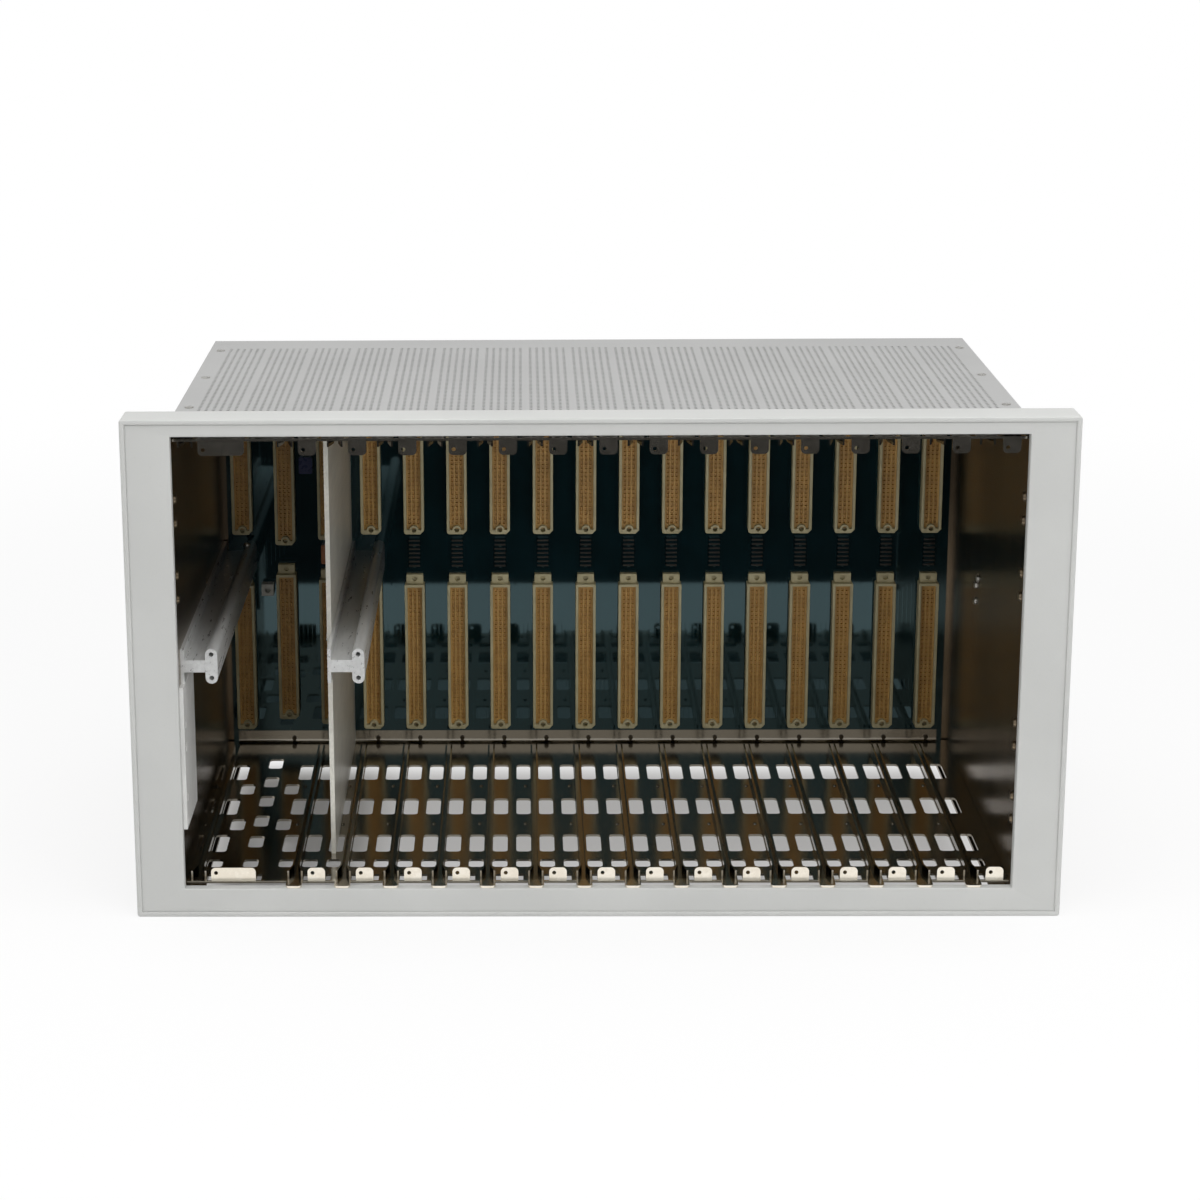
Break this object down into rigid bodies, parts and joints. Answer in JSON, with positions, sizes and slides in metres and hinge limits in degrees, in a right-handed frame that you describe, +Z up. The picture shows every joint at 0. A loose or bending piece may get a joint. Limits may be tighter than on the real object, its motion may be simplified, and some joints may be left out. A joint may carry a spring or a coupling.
{
  "type": "subrack card cage",
  "caption": "Rack-width card cage: painted front bezel, perforated top cover, pierced bronze card-guide sheets, T-section rails and a dark backplane with rows of long two-part connectors",
  "frame": {"origin": "middle of the underside of the bounding box, under the bezel's lower edge line", "axes": "+X to the right seen from the front, +Y towards the backplane, +Z up"},
  "size_m": [0.4826, 0.2522, 0.2659],
  "materials": {
    "bezel_paint": "satin",
    "cover_sheet": "satin",
    "bronze_steel": "satin",
    "guide_steel": "satin",
    "divider_sheet": "matte",
    "rail_aluminium": "satin",
    "circuit_board": "gloss",
    "connector_moulding": "satin",
    "terminal_moulding": "satin",
    "copper_winding": "satin",
    "capacitor_blue": "gloss",
    "fastener_steel": "satin"
  },
  "bodies": {
    "root": {"backplane": "circuit_board", "backplane_screws": "fastener_steel", "bezel": "bezel_paint", "bezel_rivets": "fastener_steel", "capacitor": "capacitor_blue", "choke": "copper_winding", "cover_rivets": "fastener_steel", "divider_plate": "divider_sheet", "divider_rail": "rail_aluminium", "foot_screws": "fastener_steel", "left_bracket": "divider_sheet", "left_rail": "rail_aluminium", "left_side_plate": "bronze_steel", "lower_connector_1": "connector_moulding", "lower_connector_10": "connector_moulding", "lower_connector_11": "connector_moulding", "lower_connector_12": "connector_moulding", "lower_connector_13": "connector_moulding", "lower_connector_14": "connector_moulding", "lower_connector_15": "connector_moulding", "lower_connector_16": "connector_moulding", "lower_connector_17": "connector_moulding", "lower_connector_2": "connector_moulding", "lower_connector_3": "connector_moulding", "lower_connector_4": "connector_moulding", "lower_connector_5": "connector_moulding", "lower_connector_6": "connector_moulding", "lower_connector_7": "connector_moulding", "lower_connector_8": "connector_moulding", "lower_connector_9": "connector_moulding", "lower_guide_plate": "guide_steel", "rail_screws": "fastener_steel", "right_side_plate": "bronze_steel", "side_screws": "fastener_steel", "terminal_block": "terminal_moulding", "top_cover": "cover_sheet", "upper_connector_1": "connector_moulding", "upper_connector_10": "connector_moulding", "upper_connector_11": "connector_moulding", "upper_connector_12": "connector_moulding", "upper_connector_13": "connector_moulding", "upper_connector_14": "connector_moulding", "upper_connector_15": "connector_moulding", "upper_connector_16": "connector_moulding", "upper_connector_17": "connector_moulding", "upper_connector_2": "connector_moulding", "upper_connector_3": "connector_moulding", "upper_connector_4": "connector_moulding", "upper_connector_5": "connector_moulding", "upper_connector_6": "connector_moulding", "upper_connector_7": "connector_moulding", "upper_connector_8": "connector_moulding", "upper_connector_9": "connector_moulding", "upper_guide_plate": "guide_steel", "wall_screw": "fastener_steel"}
  },
  "joints": []
}
